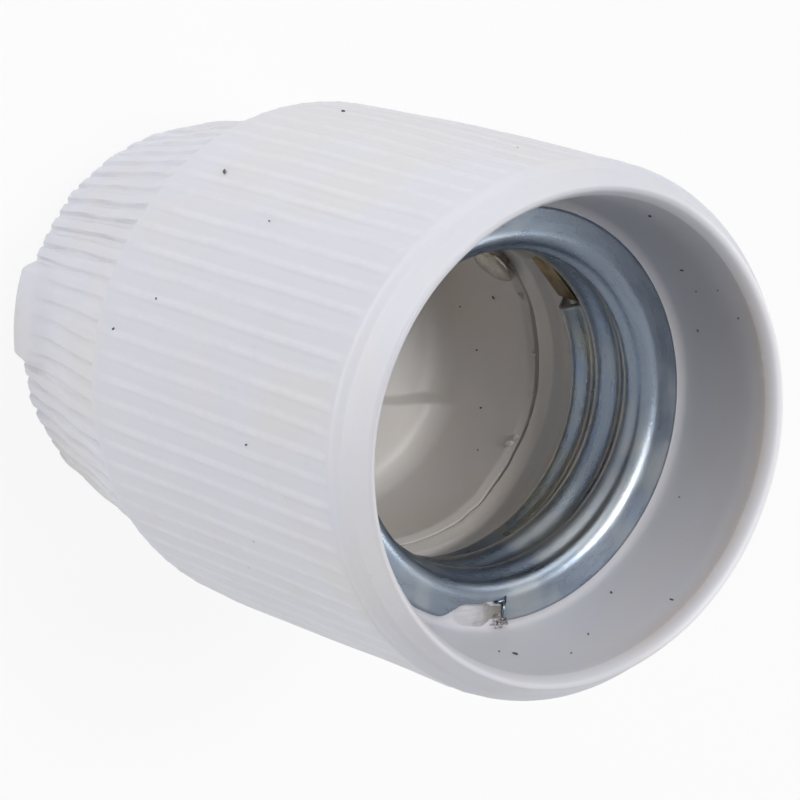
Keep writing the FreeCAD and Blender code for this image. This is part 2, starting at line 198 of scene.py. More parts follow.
def sines(angle, seed, lowest=2, highest=9):
    """Uneven wave round a ring: the sum of whole-number sines, each with its own phase and
    a height that falls with its number; the whole is scaled to about 1."""
    rng = np.random.default_rng(seed)
    numbers = np.arange(lowest, highest + 1)
    phases = rng.random(len(numbers)) * TURN
    heights = rng.uniform(0.5, 1.0, len(numbers)) / np.sqrt(numbers)
    waves = np.sin(np.multiply.outer(angle, numbers) + phases) * heights
    return waves.sum(-1) / heights.sum() * 1.6


def ribs(angle, z, count, share, flank, seed):
    """1 on a rib's top and 0 in the groove. The distance to the nearest rib's middle, in
    pitches, is cut by an S-curve at half the share; each rib stands a little aside, wanders
    along z and has its own height."""
    rng = np.random.default_rng(seed)
    aside = rng.normal(0, 0.045, count)
    height = rng.uniform(0.72, 1.0, count)
    phase = rng.random(count) * TURN
    place = angle / TURN * count + FIRST_RIB
    number = np.round(place).astype(int) % count
    wander = 0.035 * np.sin(0.28 * z + phase[number]) + aside[number]
    off = np.abs(place - np.round(place) - wander)
    fade = 1 - 0.18 * (1 + np.sin(0.45 * z + 2.3 * phase[number]))
    return (1 - smooth(off, 0.5 * share - flank, 0.5 * share + flank)) * height[number] * fade


def ring_angles(count, extra=()):
    """Even angles from -pi to pi, with some more put in where an edge has to be sharp."""
    even = np.linspace(-math.pi, math.pi, count, endpoint=False)
    if not len(extra):
        return even
    extra = np.radians(np.array(extra, float))
    near = np.abs(even[:, None] - extra[None, :]).min(1) < 0.3 * TURN / count
    return np.sort(np.concatenate([even[~near], extra]))


def skin(name, points, closed=True, hole=None, sharp=35):
    """Mesh object from a grid of points in millimetres: rows along the profile, columns
    round the axis. Each cell is one quad; `hole` marks cells that are left out."""
    rows, columns = points.shape[:2]
    index = np.arange(rows * columns).reshape(rows, columns)
    if closed:
        index = np.concatenate([index, index[:, :1]], 1)
    quads = np.stack([index[:-1, :-1], index[:-1, 1:], index[1:, 1:], index[1:, :-1]], -1)
    quads = quads.reshape(-1, 4) if hole is None else quads[~hole]
    return solid(name, points.reshape(-1, 3), quads, sharp)


def solid(name, points, quads, sharp=35):
    """Mesh object from points in millimetres and quads; double points are joined, so poles
    and seams close."""
    mesh = bpy.data.meshes.new(name)
    mesh.vertices.add(len(points))
    mesh.vertices.foreach_set("co", (points * MM).astype(np.float32).ravel())
    mesh.loops.add(quads.size)
    mesh.loops.foreach_set("vertex_index", quads.astype(np.int32).ravel())
    mesh.polygons.add(len(quads))
    mesh.polygons.foreach_set("loop_start", np.arange(0, quads.size, 4, dtype=np.int32))
    mesh.update(calc_edges=True)
    tidy = bmesh.new()
    tidy.from_mesh(mesh)
    bmesh.ops.remove_doubles(tidy, verts=tidy.verts, dist=1e-7)
    bmesh.ops.dissolve_degenerate(tidy, edges=tidy.edges, dist=1e-8)
    loose = [vertex for vertex in tidy.verts if not vertex.link_faces]
    bmesh.ops.delete(tidy, geom=loose, context="VERTS")
    tidy.to_mesh(mesh)
    tidy.free()
    mesh.validate()
    mesh.shade_smooth()
    mesh.set_sharp_from_angle(angle=math.radians(sharp))
    piece = bpy.data.objects.new(name, mesh)
    bpy.context.scene.collection.objects.link(piece)
    return piece


def fitted(piece, body, slot, material, *nodes):
    """The piece rides on its CAD body, takes its finish and stands for these CAD nodes."""
    piece.data.materials.append(material)
    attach(piece, body)
    if nodes:
        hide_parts(*nodes)


# Shader maths

class Wire:
    """One output of a shader node. Sums, products, powers and comparisons with it, from
    either side, add Math nodes."""

    def __init__(self, owner, socket):
        self.owner = owner
        self.socket = socket

    def maths(self, operation, *values):
        return self.owner.node("Math", {"operation": operation}, dict(enumerate(values)))

    def __add__(self, other):
        return self.maths("ADD", self, other)

    __radd__ = __add__

    def __sub__(self, other):
        return self.maths("SUBTRACT", self, other)

    def __rsub__(self, other):
        return self.maths("SUBTRACT", other, self)

    def __mul__(self, other):
        return self.maths("MULTIPLY", self, other)

    __rmul__ = __mul__

    def __truediv__(self, other):
        return self.maths("DIVIDE", self, other)

    def __rtruediv__(self, other):
        return self.maths("DIVIDE", other, self)

    def __pow__(self, other):
        return self.maths("POWER", self, other)

    def __rpow__(self, other):
        return self.maths("POWER", other, self)

    def __gt__(self, other):
        return self.maths("GREATER_THAN", self, other)

    def __lt__(self, other):
        return self.maths("LESS_THAN", self, other)

    def larger(self, other):
        return self.maths("MAXIMUM", self, other)


class Shading:
    """A node tree, and the one way to add a node to it."""

    def __init__(self, tree):
        self.tree = tree

    def node(self, kind, settings, inputs, output=0):
        """Any node: its settings come first, then its sockets' values or links."""
        made = self.tree.nodes.new("ShaderNode" + kind)
        for key, value in settings.items():
            setattr(made, key, value)
        for key, value in inputs.items():
            if isinstance(value, Wire):
                self.tree.links.new(value.socket, made.inputs[key])
            else:
                made.inputs[key].default_value = value
        return Wire(self, made.outputs[output])

    def ray(self, kind):
        """1 for rays of this kind."""
        return self.node("LightPath", {}, {}, "Is " + kind + " Ray")


class Finish(Shading):
    """A material with one Principled shader."""

    def __init__(self, name, **constants):
        self.material = bpy.data.materials.new(name)
        self.material.use_nodes = True
        super().__init__(self.material.node_tree)
        self.shader = self.tree.nodes["Principled BSDF"]
        for socket, value in constants.items():
            self.shader.inputs[socket.replace("_", " ")].default_value = value

    def place(self, scale=(1, 1, 1), offset=(0, 0, 0)):
        """Object coordinates in millimetres, shifted and stretched."""
        spot = self.node("TexCoord", {}, {}, "Object")
        stretch = tuple(factor / MM for factor in scale)
        return self.node("Mapping", {}, {"Vector": spot, "Location": offset, "Scale": stretch})

    def noise(self, vector, scale=1.0, detail=3.0, roughness=0.5):
        sockets = {"Vector": vector, "Scale": scale, "Detail": detail, "Roughness": roughness}
        return self.node("TexNoise", {}, sockets, "Fac")

    def span(self, value, low, high, first=0.0, last=1.0):
        """The value from low..high spread over first..last, and held there beyond."""
        sockets = {"Value": value, 1: low, 2: high, 3: first, 4: last}
        return self.node("MapRange", {"interpolation_type": "SMOOTHSTEP"}, sockets)

    def blend(self, share, first, second):
        """Mix of two colours."""
        sockets = {0: share, 6: self.colour(first), 7: self.colour(second)}
        return self.node("Mix", {"data_type": "RGBA"}, sockets, 2)

    def colour(self, value):
        return value if isinstance(value, Wire) else (*tuple(value)[:3], 1)

    def specks(self, vector, scale, size, rarity):
        """1 inside small round spots: the middle of a Voronoi cell, in few cells."""
        sockets = {"Vector": vector, "Scale": scale, "Randomness": 1.0}
        near = self.node("TexVoronoi", {}, sockets, "Distance")
        mark = self.node("TexVoronoi", {}, sockets, "Color")
        chance = self.node("SeparateColor", {}, {"Color": mark}, "Red")
        reach = self.node("SeparateColor", {}, {"Color": mark}, "Green")
        return self.span(near, size * 0.6, size, 1, 0) * (chance > rarity) * (reach * 0.6 + 0.4)

    def polar(self):
        """Distance from the axis and the height, both in millimetres, and the two parts of
        the direction from the axis."""
        spot = self.node("SeparateXYZ", {}, {"Vector": self.place()}, "X")
        nodes = spot.socket.node.outputs
        x, y, z = (Wire(self, nodes[name]) for name in "XYZ")
        radius = (x * x + y * y) ** 0.5
        return radius, z, x / radius, y / radius

    def join(self, x, y, z):
        return self.node("CombineXYZ", {}, {"X": x, "Y": y, "Z": z})

    def feed(self, socket, wire):
        self.tree.links.new(wire.socket, self.shader.inputs[socket])

    def bump(self, height, distance, strength=1.0):
        """Relief from a height of 0..1, `distance` millimetres high."""
        sockets = {"Height": height, "Distance": distance * MM, "Strength": strength}
        self.feed("Normal", self.node("Bump", {}, sockets, "Normal"))


def porcelain(name, colour, tone, speckle, grey, lines):
    """Semi-matt porcelain: warm clouds as strong as `tone`, fine grain, and dark and brown
    specks as strong as `speckle`. The rib tops get a painted highlight, as strong as `lines`.
    By `grey`, the recess and the lip get painted shade, and the lip's +Y side a painted
    highlight. That side's inner edge has a brownish tinge, partly dirt and partly painted shade."""
    finish = Finish(name, Roughness=0.42, IOR=1.48)
    spot = finish.place()
    clouds = finish.noise(spot, 0.09, 3)
    grain = finish.noise(spot, 2.6, 4, 0.6)
    dust = finish.noise(spot, 0.9, 5, 0.65)
    dark = finish.specks(spot, 0.16, 0.035, 0.62)
    brown = finish.specks(finish.place(offset=(3.1, 1.7, 5.3)), 0.30, 0.045, 0.80)
    base = finish.blend(finish.span(clouds, 0.42, 0.68) * tone, colour, warmed(colour))
    base = finish.blend(finish.span(dust, 0.60, 0.78) * 0.16, base, shaded(colour, 0.72))
    radius, z, east, north = finish.polar()
    turn = finish.node("Math", {"operation": "ARCTAN2"}, {0: north, 1: east}) / TURN
    place = (turn + 1.0) * float(sizes().rib_count) + FIRST_RIB
    off = finish.node("Math", {"operation": "PINGPONG"}, {0: place, 1: 0.5})
    # Painted highlight: the rib tops on the skirt's wall are painted paler.
    wall = finish.span(z, JOIN, JOIN + 4) * finish.span(z, SHOULDER - 1, SHOULDER, 1, 0)
    rib_highlight = finish.span(off, 0.08, 0.22, 1, 0) * wall * finish.span(radius, 19.5, 20)
    rib_highlight = rib_highlight * finish.span(dust, 0.35, 0.6, 0.5, 1) * lines
    base = finish.blend(rib_highlight, base, (0.86, 0.86, 0.90))
    # Painted shade: the recess walls, and a little the lip, are darkened towards a dimmer warm
    # copy of the glaze.
    inside = finish.span(radius, 18.0, 18.4, 1, 0) * finish.span(z, JOIN + 0.2, JOIN + 1)
    front = finish.span(z, SHOULDER - 0.4, SHOULDER + 0.8)
    painted_shade = (inside * 0.75 + front * 0.25) * grey
    base = finish.blend(painted_shade, base, shaded(warmed(colour), 0.80))
    # Painted highlight: the top of the lip on its +Y side is painted paler.
    lip_highlight = finish.span(z, MOUTH - 0.4, MOUTH + 0.1) * finish.span(radius, 18.2, 18.6)
    lip_highlight = lip_highlight * finish.span(north, 0.25, 0.75)
    base = finish.blend(lip_highlight * grey * 1.7, base, (0.92, 0.91, 0.95))
    # Brownish tinge inside the lip's +Y inner edge: partly dirt, partly painted shade under the
    # rounding.
    edge = finish.span(z, MOUTH - 2.0, MOUTH - 0.5) * finish.span(radius, 17.9, 18.3, 1, 0)
    edge = edge * finish.span(north + east * 0.2, 0.35, 0.85) * finish.span(dust, 0.1, 0.5)
    base = finish.blend(edge * 0.30, base, (0.40, 0.27, 0.17))
    base = finish.blend(brown * speckle * 0.55, base, (0.22, 0.14, 0.10))
    base = finish.blend(dark * speckle, base, (0.035, 0.035, 0.045))
    finish.feed("Base Color", base)
    finish.feed("Roughness", finish.span(clouds, 0.3, 0.7, 0.36, 0.48))
    finish.bump(grain * 0.5 + dust * 0.5, 0.035, 0.55)
    return finish.material


def warmed(colour):
    red, green, blue = colour
    return (red * 1.02, green * 0.99, blue * 0.93)


def shaded(colour, share):
    return tuple(part * share for part in colour)


def zinc(name, colour):
    """Bright zinc plate: fine marks round the axis, a grey bloom, and straw tints towards
    the rear edge and in the clouds of the plating."""
    finish = Finish(name, Metallic=1.0)
    radius, z, east, north = finish.polar()
    round_marks = finish.join(east * 4.0, north * 4.0, (radius + z) * 1.6)
    streaks = finish.noise(round_marks, 1.0, 3, 0.5)
    clouds = finish.noise(finish.place(), 0.16, 2, 0.5)
    sparkle = finish.noise(finish.place(), 6.0, 2, 0.7)
    rear = finish.span(z, SHELL_END + 0.5, FLANGE_TOP - 3.5, 1, 0)
    straw = finish.span(clouds, 0.40, 0.66) * (rear * 0.8 + 0.12)
    base = finish.blend(finish.span(streaks, 0.3, 0.7), shaded(colour, 0.90), colour)
    base = finish.blend(straw * 0.75, base, (0.55, 0.52, 0.38))
    cloud_bank = finish.noise(finish.place(offset=(9, 4, 2)), 0.13, 3, 0.5)
    bloom = finish.span(cloud_bank, 0.50, 0.66) * (sparkle * 0.8 + 0.5)
    base = finish.blend(bloom * 0.40, base, (0.62, 0.62, 0.56))
    finish.feed("Base Color", base)
    finish.feed("Roughness", streaks * 0.12 + bloom * 0.14 + 0.22)
    finish.bump(sparkle, 0.026, 0.7)
    return finish.material


def worn_metal(name, colour, dull, rough):
    """Plain metal with a patchy tarnish."""
    finish = Finish(name, Metallic=1.0)
    spot = finish.place()
    patches = finish.noise(spot, 0.7, 5, 0.65)
    scratches = finish.noise(finish.place(scale=(1, 1, 6)), 1.2, 3)
    base = finish.blend(finish.span(patches, 0.38, 0.66) * dull, colour, shaded(colour, 0.35))
    finish.feed("Base Color", base)
    finish.feed("Roughness", patches * 0.2 + scratches * 0.12 + rough)
    finish.bump(patches * 0.6 + scratches * 0.4, 0.03, 0.5)
    return finish.material


def clay(name, dark, pale):
    """Rough fired clay, mottled between two colours."""
    finish = Finish(name, Roughness=0.7)
    mottle = finish.noise(finish.place(), 3.0, 4, 0.6)
    finish.feed("Base Color", finish.blend(finish.span(mottle, 0.35, 0.65), dark, pale))
    finish.bump(mottle, 0.03, 0.6)
    return finish.material


def burnt():
    name = "finish_burnt_speck"
    return bpy.data.materials.get(name) or clay(name, (0.05, 0.05, 0.06), (0.16, 0.13, 0.12))


def grey_clay():
    name = "finish_grey_clay"
    return bpy.data.materials.get(name) or clay(name, (0.12, 0.10, 0.10), (0.50, 0.46, 0.45))


def shaded_lump_clay():
    """Porcelain with painted shade: a grey-brown that deepens towards the notch's square side,
    standing for the shadow under the flange.
    """
    finish = Finish("finish_shaded_lump_clay", Roughness=0.6)
    radius, z, east, north = finish.polar()
    mottle = finish.noise(finish.place(), 1.6, 4, 0.6)
    # Painted shade: grey-brown, deepening as the direction turns towards +Y, towards the notch's
    # square side.
    tone = finish.span(north + mottle * 0.16, -0.06, 0.16)
    finish.feed("Base Color", finish.blend(tone, (0.60, 0.595, 0.62), (0.28, 0.26, 0.235)))
    finish.bump(mottle, 0.02, 0.6)
    return finish.material


MAKERS = {
    "porcelain": lambda name: porcelain(name, finishes().glaze, 0.9, 0.9, 0.5, 0.25),
    "inner_porcelain": lambda name: porcelain(name, finishes().biscuit, 0.8, 0.7, 0.0, 0.0),
    # Painted light: the lining takes a paler copy of the inner porcelain, which lightens its
    # ledge in the throat's shade.
    "lining": lambda name: porcelain(name, shaded(finishes().biscuit, 1.18), 0.8, 0.7, 0, 0),
    "zinc_plate": lambda name: zinc(name, finishes().zinc),
    "nickel_plate": lambda name: worn_metal(name, finishes().nickel, 0.5, 0.14),
    # Brass at half its colour and more patchy than the plain brass, for the blade.
    "hot_brass": lambda name: worn_metal(name, shaded(finishes().brass, 0.5), 0.7, 0.3),
    "brass": lambda name: worn_metal(name, finishes().brass, 0.6, 0.24),
    "bronze": lambda name: worn_metal(name, finishes().bronze, 0.5, 0.22),
}


def material(slot):
    """The finish of a slot, made on first use."""
    name = "finish_" + slot
    return bpy.data.materials.get(name) or MAKERS[slot](name)


# Skirt

THROAT = 14.2
SEAT = FLANGE_TOP - 0.35              # ledge under the flange
RECESS_FOOT = 16.62                   # radius of the recess at the ledge
RECESS_EDGE = 17.95                   # and at the lip
THROAT_END = MOUTH - 18.2
RELIEF = 15.3
NECK_OPENING = 13.3
NECK_BORE = 15.5
REAR_BORE = 17.75
NECK_TOP = JOIN + 10.8
SHOULDER = MOUTH - 2.0                # front end of the ribs
CRACK_TURN = -68.0                    # degrees from +X to the lifted stretch of the rear edge


def skirt_face():
    """Profile from the rear bore's edge out, up the ribbed wall, over the lip and down the
    recess to the throat's edge."""
    return bent([
        (REAR_BORE, JOIN, 0),
        (SKIRT_RADIUS - 0.16, JOIN, 0.30),
        (SKIRT_RADIUS - 0.24, SHOULDER, 0.70),
        (20.15, SHOULDER + 0.50, 0.35),
        (19.85, SHOULDER + 1.25, 0.35),
        (18.95, MOUTH + 0.50, 0.45),
        (18.45, MOUTH + 0.50, 0.45),
        (RECESS_EDGE, MOUTH - 0.5, 0.6),
        (RECESS_FOOT, SEAT, 1.0),
        (THROAT, SEAT, 0),
        (THROAT, SEAT - 0.3, 0),
    ], 0.72)


def skirt_lining():
    """Profile from the throat's edge down to the rear bore's edge."""
    return bent([
        (THROAT, SEAT - 0.3, 0),
        (THROAT, THROAT_END, 0.2),
        (RELIEF, THROAT_END, 0.3),
        (RELIEF, MOUTH - 19.6, 0.5),
        (14.35, MOUTH - 21.4, 0.6),
        (13.75, MOUTH - 21.9, 0.2),
        (NECK_OPENING, SEAM, 0.3),
        (NECK_BORE, SEAM, 0.1),
        (NECK_BORE, NECK_TOP + 0.45, 0.1),
        (REAR_BORE, NECK_TOP + 0.45, 0.2),
        (REAR_BORE, JOIN, 0),
    ], 0.35)


def hand_made(radius, height, angle, seed):
    """Slow unevenness of pressed porcelain, added to radius and height."""
    size = sizes().unevenness / MM
    lean = size * sines(angle + 0.02 * height, seed, 2, 7)
    lift = size * sines(angle + 1.0, seed + 1, 3, 14)
    return radius + lean, height + lift


def skirt_outside():
    """The ribbed wall: on the plain wall the radius grows by the rib height times the rib
    wave, faded out at both ends. Warped in the kiln: slightly oval at the mouth, and set
    off towards +X at the rear."""
    angle = ring_angles(sizes().rib_count * 12)[None, :]
    radius, height = (part[:, None] for part in skirt_face().T)
    wall = smooth(radius, SKIRT_RADIUS - 0.55, SKIRT_RADIUS - 0.28)
    ends = 1 - smooth(height, SHOULDER - 1.3, SHOULDER)
    ends = ends * (0.35 + 0.65 * smooth(height, JOIN + 0.5, JOIN + 5))
    wave = ribs(angle, height, sizes().rib_count, 0.32, 0.08, 5)
    radius = radius + sizes().rib_height / MM * wave * wall * ends
    above = smooth(height, SEAT, SEAT + 2.0)
    outside = smooth(radius, 18.6, 19.6)
    oval = (0.08 + 0.32 * np.cos(angle) ** 2) * smooth(height, JOIN + 10, SHOULDER)
    set_off = 0.22 * np.cos(angle) * (1 - smooth(height, JOIN + 2, JOIN + 20))
    radius = radius + (set_off - oval) * outside
    rough_radius, rough_height = hand_made(radius, height, angle, 11)
    radius = radius + (rough_radius - radius) * np.maximum(above, outside)
    height = height + (rough_height - height) * above + dip_at_edge(angle, height)
    return skin("ribbed_skirt", round_grid(radius, height, angle), sharp=50)


def dip_at_edge(angle, height):
    """The rear edge is not quite flat: a low wave, only near that edge, and one lifted
    stretch on the -Y side that leaves a dark crack."""
    off = (np.degrees(angle) - CRACK_TURN + 180) % 360 - 180
    lifted = 0.30 * np.exp(-(off / 5.0) ** 2)
    return (0.05 * sines(angle, 31, 3, 24) + lifted) * (1 - smooth(height, JOIN, JOIN + 1.2))


def seam_line(angle):
    """Height that the ledge's edge and the base's rim share, which wanders round the ring."""
    return 0.20 * sines(angle, 8, 2, 11) + 0.16 * sines(angle, 9, 14, 44)


def skirt_inside():
    """The lining. The rear bore carries the coarse thread, which the cap's neck repeats: the
    radius falls by up to 0.36 mm as the neck wave falls."""
    angle = ring_angles(360)[None, :]
    radius, height = (part[:, None] for part in skirt_lining().T)
    edge = smooth(height, SEAM - 0.02, SEAM) * (1 - smooth(height, SEAM + 0.5, SEAM + 1.5))
    edge = edge * (1 - smooth(radius, 14.0, 15.2))
    bore = smooth(radius, REAR_BORE - 0.3, REAR_BORE) * smooth(height, JOIN + 0.4, JOIN + 1.4)
    bore = bore * (1 - smooth(height, NECK_TOP - 0.6, NECK_TOP + 0.3))
    radius = radius + 0.18 * bore * (neck_wave(height, angle) - 1)
    height = height + edge * seam_line(angle)
    return skin("skirt_lining", round_grid(radius, height, angle), sharp=40)


def neck_wave(height, angle):
    """Right-hand helix: the cosine of the height over the pitch, less the turn."""
    return np.cos(TURN * height / NECK_PITCH - angle)


def key_lump():
    """Porcelain lump on the seat inside the notch: a low hill, the product of an S-curve
    round the axis and one across it, with small knocks."""
    angle = np.radians(np.linspace(-13, 7, 61))[None, :]
    radius = np.linspace(14.25, 16.75, 31)[:, None]
    turn = np.degrees(angle)
    across = smooth(radius, 14.25, 15.0) * (1 - 0.5 * smooth(radius, 15.6, 16.7))
    along = smooth(turn, -13, -7) * (1 - 0.75 * smooth(turn, -2.5, 2.0))
    along = along * (1 - smooth(turn, 5.2, 6.4))
    knocks = sines(angle * 9 + radius * 2.3, 3, 3, 11)
    height = SEAT - 0.10 + 0.48 * across * along * (1 + 0.08 * knocks)
    return skin("notch_key", round_grid(radius, height, angle), closed=False, sharp=60)


# Screw shell

NOTCH_START, NOTCH_END = -17.0, 5.5
WALL = 12.85
BEND = 1.45
WINDOW_ANGLE, WINDOW_HALF, WINDOW_TOP = 137.0, 13.0, MOUTH - 15.2


def flange_edge(angle):
    """Outer radius of the flange: full, but in the notch it falls along an S-curve, then
    slowly, and jumps back at the square side."""
    turn = np.degrees(angle)
    curve = 1.35 * smooth(turn, NOTCH_START, NOTCH_START + 8.5)
    creep = 0.40 * smooth(turn, NOTCH_START + 6, NOTCH_END)
    inside = (turn > NOTCH_START) & (turn < NOTCH_END)
    return FLANGE_RADIUS - np.where(inside, curve + creep, 0)


def thread_wave(height, angle):
    """-1 on a crest and 1 in a root of the right-hand thread: the crest's height grows by
    one pitch for each turn."""
    first = MOUTH - 8.08
    phase = TURN * (height - first) / THREAD_PITCH - angle
    return -np.cos(phase)


def screw_shell():
    """Inner face of the sheet: flange, quarter-round bend, threaded wall and flared rear
    edge. Solidify gives the sheet its thickness."""
    angle = ring_angles(340, [NOTCH_END - 0.15, NOTCH_END + 0.15, NOTCH_START,
                              WINDOW_ANGLE - WINDOW_HALF, WINDOW_ANGLE + WINDOW_HALF])[None, :]
    inward = np.linspace(0, 1, 9)[:, None]
    start = WALL + BEND
    flange_radius = flange_edge(angle) * (1 - inward) + start * inward
    flange_height = FLANGE_TOP + 0 * flange_radius
    wall = bent([(start, FLANGE_TOP, 0), (WALL, FLANGE_TOP, BEND), (WALL, SHELL_END + 1.45, 1.6),
                 (WALL + 1.15, SHELL_END + 0.28, 0)], 0.13)[1:]
    radius, height = (part[:, None] for part in wall.T)
    fade = smooth(height, SHELL_END + 0.5, SHELL_END + 1.6)
    fade = fade * (1 - smooth(height, FLANGE_TOP - 1.5, FLANGE_TOP - 0.7))
    wave = thread_wave(height, angle)
    radius = radius + 0.5 * sizes().thread_depth / MM * fade * wave
    height = height + 0 * angle
    ripple = 0.025 * sines(angle, 4, 3, 16)
    radius = np.concatenate([flange_radius, radius])
    height = np.concatenate([flange_height, height]) + ripple
    turn = np.degrees(0.5 * (angle + np.roll(angle, -1)))
    hole = (np.abs(turn - WINDOW_ANGLE) < WINDOW_HALF) & (height[1:] < WINDOW_TOP)
    shell = skin("threaded_shell", round_grid(radius, height, angle), hole=hole, sharp=60)
    thick = shell.modifiers.new("sheet", "SOLIDIFY")
    thick.thickness = sizes().sheet
    thick.offset = -1
    thick.use_even_offset = False
    return shell


# Contact base

CUP = 13.0
BASE_RADIUS = BASE_HIGH[0]
FLOOR = MOUTH - 36.3
LAND = MOUTH - 34.8
LAND_EDGE = 3.7


def cup_inside():
    """The cup's inner face in rings from the axis out, then up the wall to the rim. The
    floor steps up to the land along a straight line; the corner is a quarter round."""
    angle = ring_angles(480)[None, :]
    corner = 2.2
    rings = np.concatenate([np.linspace(0, CUP - corner, 90)[:-1],
                            CUP - corner * (1 - np.sin(np.linspace(0, math.pi / 2, 14)))])
    radius = rings[:, None] + 0 * angle
    rise = corner - np.sqrt(np.clip(corner ** 2 - np.clip(radius - (CUP - corner), 0, None) ** 2,
                                    0, None))
    step = smooth(radius * np.cos(angle) + 0.18 * np.sin(radius * np.sin(angle) * 0.6),
                  LAND_EDGE - 0.35, LAND_EDGE + 0.35)
    floor = FLOOR + (LAND - FLOOR) * step
    floor_height = floor + rise
    up = np.linspace(0, 1, 40)[1:, None]
    top = RIM + seam_line(angle) - seam_gap(angle)
    wall_height = floor_height[-1:] + (top - floor_height[-1:]) * up
    wall_radius = CUP + 0.32 * smooth(up, 0.93, 1.0) + 0 * wall_height
    wave = 0.05 * sines(angle + 0.08 * wall_height, 21, 2, 8)
    return np.concatenate([radius, wall_radius + wave * smooth(up, 0, 0.5)]), np.concatenate(
        [floor_height, wall_height]), angle


def seam_gap(angle):
    """Extra width of the seam, which opens and closes round the ring."""
    open_part = smooth(sines(angle, 15, 2, 7) + 0.9 * np.cos(angle - math.radians(97)), 0.2, 1.0)
    return -0.13 + 0.22 * open_part


def contact_base():
    """The cup: its inner face, then over the rim, down the outside and under the floor to
    the axis."""
    radius, height, angle = cup_inside()
    outside = bent([(CUP + 0.32, RIM, 0), (BASE_RADIUS, RIM, 0.3), (BASE_RADIUS, BASE_UNDER, 0.4),
                    (0.0, BASE_UNDER, 0)], 1.2)[1:]
    out_radius, out_height = (part[:, None] + 0 * angle for part in outside.T)
    near_rim = smooth(out_height, RIM - 1.0, RIM)
    out_height = out_height + near_rim * (seam_line(angle) - seam_gap(angle))
    groove = np.abs(np.degrees(angle) - WINDOW_ANGLE) < 11.5
    deep = np.where(groove & (out_radius > 14), 14.1, out_radius)
    radius = np.concatenate([radius, deep])
    height = np.concatenate([height, out_height])
    return skin("contact_cup", round_grid(radius, height, angle), sharp=45)


# Metal pieces

RIVET_TURN = math.radians(WINDOW_ANGLE + 1.5)
RIVET_HEIGHT = MOUTH - 24.6


def dome(radius, rise, shank, length):
    """Rivet about +Z with its head's foot at z = 0: the head is an ellipse's quarter with a
    short straight rim."""
    angle = ring_angles(64)[None, :]
    tilt = np.linspace(0, math.pi / 2, 20)
    head = np.stack([radius * np.sin(tilt), 0.22 + (rise - 0.22) * np.cos(tilt)], -1)
    rest = bent([(radius, 0.22, 0), (radius, 0, 0.05), (shank, 0, 0), (shank, -length, 0),
                 (0, -length, 0)], 0.5)[1:]
    line = np.concatenate([head, rest])[::-1]
    return round_grid(line[:, :1], line[:, 1:], angle)


def side_rivet():
    """Domed head on the cup's wall, pointing at the axis."""
    points = dome(2.1, 0.8, 1.2, 2.0)
    reach = CUP - 0.2 - points[..., 2]
    along = points[..., 0]
    x = reach * math.cos(RIVET_TURN) - along * math.sin(RIVET_TURN)
    y = reach * math.sin(RIVET_TURN) + along * math.cos(RIVET_TURN)
    placed = np.stack([x, y, RIVET_HEIGHT + points[..., 1]], -1)
    return skin("side_rivet_head", placed[::-1], sharp=50)


def centre_rivet():
    """Domed head over the leaf's foot, pointing up."""
    low, high = corners("centre_rivet")
    points = dome(2.1, 0.9, 1.2, 2.0)
    middle = 0.5 * (low + high)
    top = high[2] - 0.9
    points = points + np.array([middle[0], middle[1], top])
    return skin("centre_rivet_head", points, sharp=50)


def strip(route, width, thick):
    """A flat strip: the route in the (y, z) plane is smoothed, thickened along its normal
    by half the sheet each way, and swept across x with slightly rounded edges."""
    low = -0.5 * width
    side = np.array([low, low + 0.12, -low - 0.12, -low, -low, -low - 0.12, low + 0.12, low])
    lift = np.array([-0.3, -0.5, -0.5, -0.3, 0.3, 0.5, 0.5, 0.3]) * thick
    step = np.gradient(route, axis=0)
    step = step / np.linalg.norm(step, axis=1, keepdims=True)
    normal = np.stack([-step[:, 1], step[:, 0]], -1)
    flat = route[:, None, :] + normal[:, None, :] * lift[None, :, None]
    x = np.broadcast_to(side, flat.shape[:2])
    points = np.stack([x, flat[..., 0], flat[..., 1]], -1)
    middle = points.mean(1, keepdims=True)
    first = np.repeat(middle[:1], points.shape[1], 1)
    last = np.repeat(middle[-1:], points.shape[1], 1)
    return np.concatenate([first, points, last])


def centre_contact():
    """The springy leaf: flat foot, then it rises in an even curve to its nose."""
    low, high = corners("centre_contact")
    foot = low[2] + 0.25
    route = bent([(low[1], foot, 0), (-6.4, foot, 0.8), (-3.3, foot + 4.4, 1.6),
                  (-0.9, high[2] - 0.1, 1.2), (high[1], high[2] - 1.0, 0)], 0.25)
    return skin("leaf_contact", strip(route, 5.0, 0.35)[:, ::-1], sharp=40)


def side_contact():
    """The blade: in under the floor, up the outside of the cup, and its sprung end bends in
    to meet the shell in its window."""
    low, high = corners("side_contact")
    foot, riser = low[2] + 0.25, 14.55
    route = bent([(4.6, foot, 0), (riser, foot, 0.5), (riser, SHELL_END - 0.6, 0.8),
                  (WALL + 0.35, SHELL_END + 1.0, 0.8), (WALL + 0.25, high[2] - 0.1, 0)], 0.35)
    points = strip(route, 5.0, 0.5)
    out, across = points[..., 1], points[..., 0]
    turn = math.radians(WINDOW_ANGLE)
    x = out * math.cos(turn) + across * math.sin(turn)
    y = out * math.sin(turn) - across * math.cos(turn)
    return skin("blade_contact", np.stack([x, y, points[..., 2]], -1), sharp=40)


